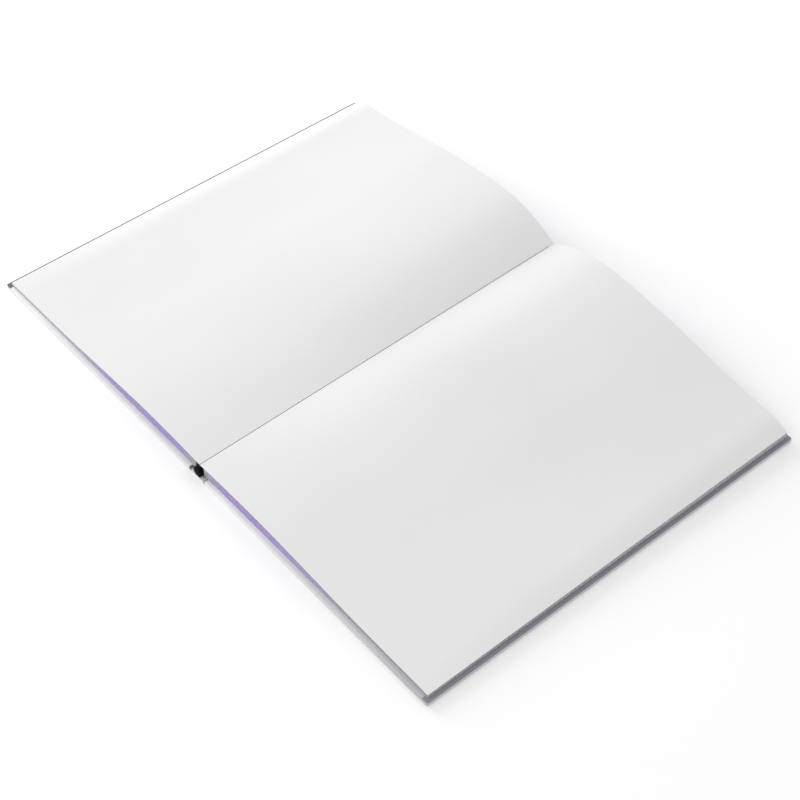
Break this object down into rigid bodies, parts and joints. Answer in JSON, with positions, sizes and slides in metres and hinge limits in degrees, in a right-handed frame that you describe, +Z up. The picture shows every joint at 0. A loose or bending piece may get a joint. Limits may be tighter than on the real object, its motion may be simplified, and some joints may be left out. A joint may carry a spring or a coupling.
{
  "type": "sketchbook",
  "caption": "Hardback sketchbook lying open at its middle, with cloth-covered boards, sewn sections, loose arched leaves and a leaf that turns.",
  "frame": {"origin": "on the table under the middle of the spine, half way up the page", "axes": "+X across the open spread from front half to back half, +Y up the page from tail to head, +Z up"},
  "size_m": [0.428, 0.3022, 0.0315],
  "materials": {
    "greyboard": "matt",
    "cover_cloth": "satin",
    "endpaper": "matt",
    "section_paper": "matt",
    "page_paper": "matt",
    "mull": "open weave",
    "spine_lining": "matt",
    "band_cloth": "ribbed",
    "thread": "waxed"
  },
  "bodies": {
    "spine": {"spine_board": "greyboard", "spine_cloth": "cover_cloth", "front_joint_cloth": "cover_cloth", "back_joint_cloth": "cover_cloth", "spine_mull": "mull", "spine_lining": "spine_lining", "head_band": "band_cloth", "tail_band": "band_cloth", "sewing_thread": "thread"},
    "front_cover": {"front_board": "greyboard", "front_cloth": "cover_cloth", "front_pastedown": "endpaper"},
    "back_cover": {"back_board": "greyboard", "back_cloth": "cover_cloth", "back_pastedown": "endpaper"},
    "front_pages": {"front_flyleaf": "endpaper", "front_section_1": "section_paper", "front_section_2": "section_paper", "front_section_3": "section_paper", "front_section_4": "section_paper", "front_leaf_1": "page_paper", "front_leaf_2": "page_paper", "front_leaf_3": "page_paper", "front_leaf_4": "page_paper", "front_leaf_5": "page_paper", "front_top_leaf": "page_paper"},
    "back_pages": {"back_flyleaf": "endpaper", "back_section_1": "section_paper", "back_section_2": "section_paper", "back_section_3": "section_paper", "back_section_4": "section_paper", "back_leaf_1": "page_paper", "back_leaf_2": "page_paper", "back_leaf_3": "page_paper", "back_leaf_4": "page_paper", "back_leaf_5": "page_paper"},
    "turning_leaf": {"turning_leaf": "page_paper"}
  },
  "joints": [
    {"name": "front_cover_hinge", "type": "hinge", "parent": "spine", "child": "front_cover", "pos_m": [-0.0065, 0, 0.0012], "axis": [0, 1, 0], "range_deg": [0, 90], "deforming": ["front_joint_cloth"]},
    {"name": "back_cover_hinge", "type": "hinge", "parent": "spine", "child": "back_cover", "pos_m": [0.0065, 0, 0.0012], "axis": [0, -1, 0], "range_deg": [0, 90], "deforming": ["back_joint_cloth"]},
    {"name": "front_pages_fold", "type": "hinge", "parent": "spine", "child": "front_pages", "pos_m": [-0.0046, 0, 0.0032], "axis": [0, 1, 0], "range_deg": [0, 90], "deforming": ["front_flyleaf", "front_section_1", "front_section_2", "front_section_3", "front_section_4", "front_leaf_1", "front_leaf_2", "front_leaf_3", "front_leaf_4", "front_leaf_5", "front_top_leaf"]},
    {"name": "back_pages_fold", "type": "hinge", "parent": "spine", "child": "back_pages", "pos_m": [0.0046, 0, 0.0032], "axis": [0, -1, 0], "range_deg": [0, 90], "deforming": ["back_flyleaf", "back_section_1", "back_section_2", "back_section_3", "back_section_4", "back_leaf_1", "back_leaf_2", "back_leaf_3", "back_leaf_4", "back_leaf_5"]},
    {"name": "leaf_turn", "type": "hinge", "parent": "back_pages", "child": "turning_leaf", "pos_m": [0, 0, 0.01335], "axis": [0, 0.9998, 0.0212], "range_deg": [-145, 0], "deforming": ["turning_leaf"]}
  ],
  "couplings": [
    {"joint": "front_pages_fold", "follows": "front_cover_hinge", "ratio": 1},
    {"joint": "back_pages_fold", "follows": "back_cover_hinge", "ratio": 1}
  ]
}
